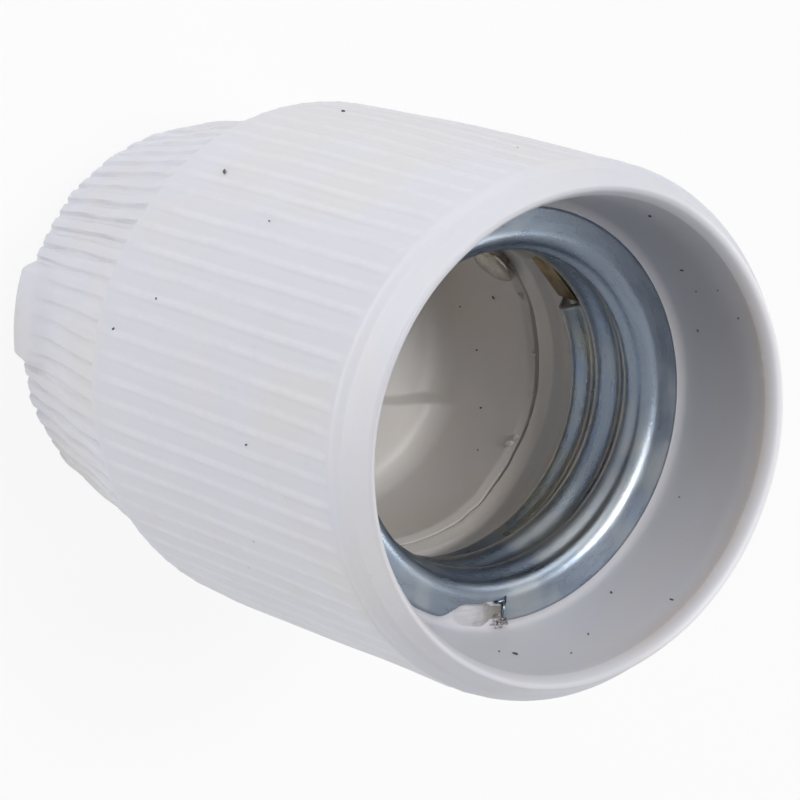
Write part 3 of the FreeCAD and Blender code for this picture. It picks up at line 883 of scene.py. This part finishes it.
def entry_bush():
    """Flanged bush with a fine female thread in its bore: the bore's radius is a saw of the
    height over the pitch, less the turn."""
    angle = ring_angles(120)[None, :]
    bore, pitch = 4.6, 1.0
    flange_low = BUSH_LOW[2]
    flange_top = flange_low + 1.2
    line = bent([(bore + 0.25, BUSH_HIGH[2], 0), (6.4, BUSH_HIGH[2], 0.25),
                 (6.4, flange_top, 0), (8.2, flange_top, 0.2), (8.2, flange_low, 0.3),
                 (bore + 0.5, flange_low, 0.2)], 0.3)[::-1]
    inside = np.linspace(flange_low + 0.3, BUSH_HIGH[2], 110)[:, None]
    phase = inside / pitch - angle / TURN
    tooth = np.abs((phase % 1.0) - 0.5) * 2
    ends = smooth(inside, flange_low + 0.3, flange_low + 1.0)
    bore_radius = bore + 0.30 - 0.30 * tooth * ends
    radius = np.concatenate([line[:, :1] + 0 * angle, bore_radius[::-1]])
    height = np.concatenate([line[:, 1:] + 0 * angle, inside[::-1] + 0 * angle])
    return skin("flanged_bush", round_grid(radius, height, angle)[::-1], sharp=35)


# Rear cap

CAP_RADIUS = 20.30
CAP_TAPER = 0.18
CAP_CORNER = 2.8
PAD_RISE = 0.70
PAD_HALF, PAD_TOP = 3.9, 7.4


def cap_profile():
    """From the foot recess out over the rounded corner, up the taper, across the join and
    up the neck, then down its bore into the wire chamber."""
    slope = CAP_RADIUS - CAP_TAPER * (JOIN - CAP_CORNER)
    outside = bent([
        (6.55, 1.8, 0), (9.6, 1.8, 0.4), (9.6, 0.0, 0.35),
        (slope - 0.14 * CAP_CORNER, 0.0, 2.3),
        (CAP_RADIUS - 0.1, JOIN - 0.1, 0.25),
        (17.4, JOIN - 0.1, 0.3), (17.4, NECK_TOP, 0.5),
        (15.5, NECK_TOP, 0.3), (15.5, NECK_TOP - 1.0, 0),
    ], 0.95)
    chamber = bent([
        (15.5, NECK_TOP - 1.0, 0), (15.5, BASE_UNDER, 0), (12.5, BASE_UNDER, 0.3),
        (12.5, 4.5, 1.0), (6.55, 4.5, 0), (6.55, 1.8, 0),
    ], 4.0)
    return np.concatenate([outside, chamber[1:]])


def rear_cap():
    """The fluted end. Outside, the radius falls by the flute depth where the rib wave is
    low; on the pad's side a smooth shield stands proud and the flutes end under it."""
    angle = ring_angles(sizes().rib_count * 12)[None, :]
    line = cap_profile()
    radius, height = (part[:, None] for part in line.T)
    row = np.arange(len(line))[:, None]
    last = int(np.argmax(line[:, 0]))
    outer = (row <= last) & (radius > 10.5)
    fade = np.where(outer, smooth(height, 0.02, 1.4) * 0.65 + 0.35, 0)
    fade = fade * smooth(radius, 12.0, 14.0) * (1 - smooth(height, JOIN - 0.5, JOIN - 0.1) * 0.7)
    half_turn = angle + math.pi / sizes().rib_count
    wave = ribs(half_turn, height * 1.6, sizes().rib_count, 0.66, 0.075, 17)
    depth = sizes().flute_depth / MM * (1 + 0.35 * sines(angle, 23, 3, 20))
    shield = pad_shield(radius, height, angle) * (outer | (height < 0.5)) * (radius > 12)
    cut = depth * (1 - wave) * fade * (1 - shield)
    neck = smooth(height, JOIN + 0.8, JOIN + 2.0) * (row > last) * (radius > 16.5)
    thread = 0.2 * neck * (neck_wave(height, angle) - 1)
    corner = 1 - smooth(height, 3.0, 9.0)
    wobble = 0.05 * sines(angle + 0.03 * height, 27, 3, 18)
    wobble = wobble + 0.16 * corner * sines(angle, 29, 22, 50) + 0.45 * np.cos(angle)
    low = 1 - smooth(height, JOIN - 4.0, JOIN - 0.2)
    radius = radius - cut + PAD_RISE * shield + thread + wobble * fade * (low * (1 - shield))
    return skin("fluted_cap", round_grid(radius, height, angle), sharp=50)


def pad_shield(radius, height, angle):
    """1 on the smooth pad on the -Y side: an S-curve of the distance across it times one
    of the height, both with soft edges and round upper corners."""
    across = np.abs(radius * np.cos(angle))
    facing = np.sin(angle) < -0.5
    corner = np.clip(across - (PAD_HALF - 1.6), 0, None) ** 2 / 2.6
    side = 1 - smooth(across + 0.12 * np.sin(height * 1.1), PAD_HALF - 0.5, PAD_HALF + 0.5)
    top = 1 - smooth(height + corner, PAD_TOP - 2.4, PAD_TOP + 1.0)
    return side * top * facing


# Kiln specks and crumbs

def pebbles(name, places, lift, seed):
    """Small uneven grains in one mesh. A place is (degrees round the axis, height, radius,
    length, width): each grain is an ellipsoid along the axis whose radius is dented by a
    sine of its own, sunk so that `lift` of its width stands out."""
    places = np.array(places, float)[:, :, None, None]
    turn, height, radius, length, width = (places[:, column] for column in range(5))
    rng = np.random.default_rng(seed)
    slant = rng.uniform(-0.8, 0.8, turn.shape)
    phase = rng.random(turn.shape) * TURN
    polar = np.linspace(0, math.pi, 7)[None, :, None]
    round_it = np.linspace(0, TURN, 10, endpoint=False)[None, None, :]
    dent = 1 + 0.25 * np.sin(3 * round_it + phase) * np.sin(2 * polar + phase)
    along = 0.5 * length * np.cos(polar) + 0 * round_it
    side = 0.5 * width * np.sin(polar) * np.cos(round_it) * dent
    out = 0.5 * width * np.sin(polar) * np.sin(round_it) * dent + (lift - 0.5) * width
    tilted = side * np.cos(slant) + along * np.sin(slant)
    angle = np.radians(turn) + tilted / radius
    rise = height + along * np.cos(slant) - side * np.sin(slant)
    points = round_grid(radius + out, rise, angle)
    count, rows, columns = points.shape[:3]
    index = np.arange(count * rows * columns).reshape(count, rows, columns)
    index = np.concatenate([index, index[:, :, :1]], 2)
    quads = np.stack([index[:, :-1, :-1], index[:, 1:, :-1], index[:, 1:, 1:],
                      index[:, :-1, 1:]], -1)
    return solid(name, points.reshape(-1, 3), quads.reshape(-1, 4), 60)


def wall_radius(height):
    """Radius of the recess wall at a height."""
    share = (height - SEAT) / (MOUTH - 0.5 - SEAT)
    return RECESS_FOOT + (RECESS_EDGE - RECESS_FOOT) * share


def skirt_specks():
    """Burnt specks: a few on the ribbed wall, more in the recess."""
    outer = SKIRT_RADIUS - 0.18
    wall = [(-137, 26.5, 0.62, 0.22), (-105, 28, 0.28, 0.16), (-96, 23, 0.30, 0.2),
            (-75, 21.7, 0.7, 0.2), (-68, 25.6, 0.4, 0.16), (-82, 43.5, 0.3, 0.14),
            (-169, 26.8, 0.5, 0.2), (-128, 37, 0.25, 0.12), (-60, 33, 0.22, 0.12),
            (30, 38, 0.35, 0.18), (84, 29, 0.3, 0.16), (140, 45, 0.4, 0.15)]
    recess = [(158, 53.3, 0.35, 0.16), (134, 50.8, 0.4, 0.2), (127, 51.1, 0.22, 0.14),
              (128, 53.5, 0.2, 0.12), (120, 54.5, 0.25, 0.14), (13, 53.4, 0.22, 0.12),
              (-1, 52, 0.55, 0.2), (-5, 51.6, 0.3, 0.15), (37, 49.6, 0.4, 0.2),
              (43, 54.6, 0.5, 0.2), (69, 49.6, 0.2, 0.12), (22, 52, 0.3, 0.13),
              (-40, 52, 0.3, 0.15), (-110, 51, 0.3, 0.15), (-160, 53, 0.3, 0.14)]
    places = [(turn, height, outer, length, width) for turn, height, length, width in wall]
    places += [(turn, height, wall_radius(height), length, width)
               for turn, height, length, width in recess]
    return pebbles("skirt_specks", places, 0.45, 41)


def crumbs():
    """Loose-looking crumbs of clay fired on beside the notch's square side."""
    rng = np.random.default_rng(7)
    turn = rng.uniform(2.0, 6.4, 22)
    radius = rng.normal(16.15, 0.28, 22)
    size = rng.uniform(0.10, 0.34, 22)
    height = SEAT + 0.42 + rng.uniform(0, 0.25, 22)
    return pebbles("notch_crumbs", np.stack([turn, height, radius, size, size * 0.8], -1),
                   0.5, 43)


def base_lumps():
    """Small lumps and specks of the cup's seam and wall, in the cup's own clay."""
    places = [(66, RIM - 0.5, CUP, 1.0, 0.55), (69, RIM - 0.1, CUP, 0.8, 0.5),
              (100, RIM + 0.1, CUP, 0.7, 0.3), (122, RIM - 0.1, CUP, 0.8, 0.3),
              (85, RIM + 0.15, CUP, 0.6, 0.25)]
    return pebbles("seam_lumps", places, 0.35, 47)


def base_specks():
    """Burnt specks on the cup's wall."""
    places = [(118, 28.5, CUP, 0.35, 0.2), (75, 27, CUP, 0.3, 0.16), (95, 25, CUP, 0.25, 0.14),
              (110, 23, CUP, 0.22, 0.14), (60, 29, CUP, 0.25, 0.14), (-70, 27, CUP, 0.3, 0.16)]
    return pebbles("cup_specks", places, 0.35, 53)


# Stage

CAMERA_PLACE = np.array([-1.9114, -7.3640, 9.2999]) * SKIRT_RADIUS
CAMERA_RIGHT = Vector((-0.10680, 0.82127, 0.56046))
CAMERA_UP = Vector((-0.98232, 0.0, -0.18719))
CAMERA_BACK = Vector((-0.15373, -0.57054, 0.80675))


def camera():
    """Long lens, turned so that the holder lies across the picture."""
    data = bpy.data.cameras.new("camera")
    data.sensor_width = 36.0
    data.lens = 154.6
    data.clip_start, data.clip_end = 0.01, 20.0
    eye = bpy.data.objects.new("camera", data)
    bpy.context.scene.collection.objects.link(eye)
    turned = Matrix((CAMERA_RIGHT, CAMERA_UP, CAMERA_BACK)).transposed().to_4x4()
    place = Vector(CAMERA_PLACE * MM) + Vector((0, 0, MOUTH * MM))
    eye.matrix_world = Matrix.Translation(place) @ turned
    bpy.context.scene.camera = eye


def lamp(name, turn, rise, size, power):
    """Area lamp aimed at the holder's middle from 0.7 m away: `turn` degrees round the
    axis from +X, and `rise` degrees above the horizon."""
    data = bpy.data.lights.new(name, "AREA")
    data.shape = "RECTANGLE"
    data.size, data.size_y = size
    data.energy = power
    light = bpy.data.objects.new(name, data)
    bpy.context.scene.collection.objects.link(light)
    middle = Vector((0, 0, 0.55 * MOUTH * MM))
    turn, rise = math.radians(turn), math.radians(rise)
    flat = math.cos(rise)
    reach = 0.7 * Vector((flat * math.cos(turn), flat * math.sin(turn), math.sin(rise)))
    facing = reach.to_track_quat("Z", "Y").to_matrix().to_4x4()
    light.matrix_world = Matrix.Translation(middle + reach) @ facing


def floor():
    """Wide pale floor just under the foot. Camera, mirrored and clear rays see it nearly
    white, and others see it plain."""
    half, drop = 3000.0, -0.02
    points = np.array([[-half, -half, drop], [half, -half, drop],
                       [half, half, drop], [-half, half, drop]])
    ground = solid("floor", points, np.array([[0, 1, 2, 3]]))
    finish = Finish("floor_white", Base_Color=(0.82, 0.82, 0.82, 1), Roughness=0.9)
    seen = finish.ray("Camera").larger(finish.ray("Transmission")).larger(finish.ray("Glossy"))
    glow = finish.node("Emission", {}, {"Color": (1, 1, 1, 1), "Strength": 1.0})
    plain = Wire(finish, finish.shader.outputs[0])
    mixed = finish.node("MixShader", {}, {0: seen * 0.9, 1: plain, 2: glow})
    end = finish.tree.nodes["Material Output"]
    finish.tree.links.new(mixed.socket, end.inputs["Surface"])
    ground.data.materials.append(finish.material)


def world(strength, mirrored):
    """Even grey light, pale where the camera looks past the floor, and a grey between the
    two where metal mirrors it."""
    studio = bpy.data.worlds.new("studio")
    bpy.context.scene.world = studio
    studio.use_nodes = True
    studio.node_tree.nodes.clear()
    sky = Shading(studio.node_tree)
    share = sky.ray("Glossy") * ((mirrored - strength) / (1 - strength)) + sky.ray("Camera")
    soft = sky.node("Background", {}, {"Color": (0.95, 0.97, 1.0, 1), "Strength": strength})
    pale = sky.node("Background", {}, {"Strength": 1.0})
    mixed = sky.node("MixShader", {}, {0: share, 1: soft, 2: pale})
    end = sky.tree.nodes.new("ShaderNodeOutputWorld")
    sky.tree.links.new(mixed.socket, end.inputs["Surface"])


# Operators

class HOLDER_OT_stage(bpy.types.Operator):
    """Add the camera, lamps, pale floor and world"""
    bl_idname = "holder.stage"
    bl_label = "Add Stage"

    def execute(self, context):
        context.scene.view_settings.view_transform = "Standard"
        camera()
        lamp("key", 180, 27, (1.20, 0.34), 2.05)
        lamp("side", -110, 3, (0.80, 0.09), 1.95)
        lamp("low", -25, 5, (0.60, 0.12), 1.0)
        lamp("far", 75, 28, (0.50, 0.30), 1.4)
        lamp("top", 178, 76, (0.20, 0.20), 2.1)
        floor()
        world(0.145, 0.62)
        return {"FINISHED"}


class HOLDER_OT_skirt(bpy.types.Operator):
    """Add the ribbed porcelain skirt with its lip, lining and key"""
    bl_idname = "holder.skirt"
    bl_label = "Add Skirt"

    def execute(self, context):
        finish = material("porcelain")
        fitted(skirt_outside(), "skirt", "porcelain", finish, "skirt")
        fitted(skirt_inside(), "skirt", "porcelain", material("lining"))
        fitted(key_lump(), "skirt", "porcelain", shaded_lump_clay())
        fitted(skirt_specks(), "skirt", "porcelain", burnt())
        fitted(crumbs(), "skirt", "porcelain", grey_clay())
        return {"FINISHED"}


class HOLDER_OT_shell(bpy.types.Operator):
    """Add the threaded steel shell"""
    bl_idname = "holder.shell"
    bl_label = "Add Screw Shell"

    def execute(self, context):
        fitted(screw_shell(), "skirt", "zinc_plate", material("zinc_plate"), "screw_shell")
        return {"FINISHED"}


class HOLDER_OT_base(bpy.types.Operator):
    """Add the contact base's porcelain cup"""
    bl_idname = "holder.base"
    bl_label = "Add Contact Base"

    def execute(self, context):
        finish = material("inner_porcelain")
        fitted(contact_base(), "base", "inner_porcelain", finish, "contact_base")
        fitted(base_lumps(), "base", "inner_porcelain", finish)
        fitted(base_specks(), "base", "inner_porcelain", burnt())
        return {"FINISHED"}


class HOLDER_OT_contacts(bpy.types.Operator):
    """Add the contacts and their rivets"""
    bl_idname = "holder.contacts"
    bl_label = "Add Contacts"

    def execute(self, context):
        fitted(centre_contact(), "leaf", "bronze", material("bronze"), "centre_contact")
        fitted(side_contact(), "base", "brass", material("hot_brass"), "side_contact")
        nickel = material("nickel_plate")
        fitted(side_rivet(), "base", "nickel_plate", nickel, "side_rivet")
        fitted(centre_rivet(), "base", "nickel_plate", nickel, "centre_rivet")
        return {"FINISHED"}


class HOLDER_OT_cap(bpy.types.Operator):
    """Add the fluted rear cap and its bush"""
    bl_idname = "holder.cap"
    bl_label = "Add Rear Cap"

    def execute(self, context):
        fitted(rear_cap(), "cap", "porcelain", material("porcelain"), "rear_cap")
        fitted(entry_bush(), "cap", "zinc_plate", material("zinc_plate"), "entry_bush")
        return {"FINISHED"}


class HOLDER_OT_fittings(bpy.types.Operator):
    """Give the remaining solids their finishes"""
    bl_idname = "holder.fittings"
    bl_label = "Finish Fittings"

    def execute(self, context):
        for part in frame["record"]["subparts"]:
            node = frame["nodes"][part["node"]]
            if not node.hide_render:
                node.data.materials.clear()
                node.data.materials.append(material(part["material_slot"]))
        return {"FINISHED"}


class HOLDER_PT_panel(bpy.types.Panel):
    """Panel with the operators and their settings"""
    bl_label = "Lamp Holder"
    bl_idname = "HOLDER_PT_panel"
    bl_space_type = "VIEW_3D"
    bl_region_type = "UI"
    bl_category = "Lamp Holder"

    def draw(self, context):
        layout = self.layout
        for group in (context.scene.holder_sizes, context.scene.holder_finishes):
            for name in group.__annotations__:
                layout.prop(group, name)
        for operator in OPERATORS:
            layout.operator(operator.bl_idname)


OPERATORS = (HOLDER_OT_stage, HOLDER_OT_skirt, HOLDER_OT_shell, HOLDER_OT_base,
             HOLDER_OT_contacts, HOLDER_OT_cap, HOLDER_OT_fittings)
CLASSES = (HolderSizes, HolderFinishes, *OPERATORS, HOLDER_PT_panel)


def register():
    for item in CLASSES:
        bpy.utils.register_class(item)
    bpy.types.Scene.holder_sizes = bpy.props.PointerProperty(type=HolderSizes)
    bpy.types.Scene.holder_finishes = bpy.props.PointerProperty(type=HolderFinishes)


def unregister():
    del bpy.types.Scene.holder_finishes
    del bpy.types.Scene.holder_sizes
    for item in reversed(CLASSES):
        bpy.utils.unregister_class(item)


def main():
    register()
    bpy.ops.holder.stage()
    bpy.ops.holder.skirt()
    bpy.ops.holder.shell()
    bpy.ops.holder.base()
    bpy.ops.holder.contacts()
    bpy.ops.holder.cap()
    bpy.ops.holder.fittings()


if __name__ == "__main__":
    main()
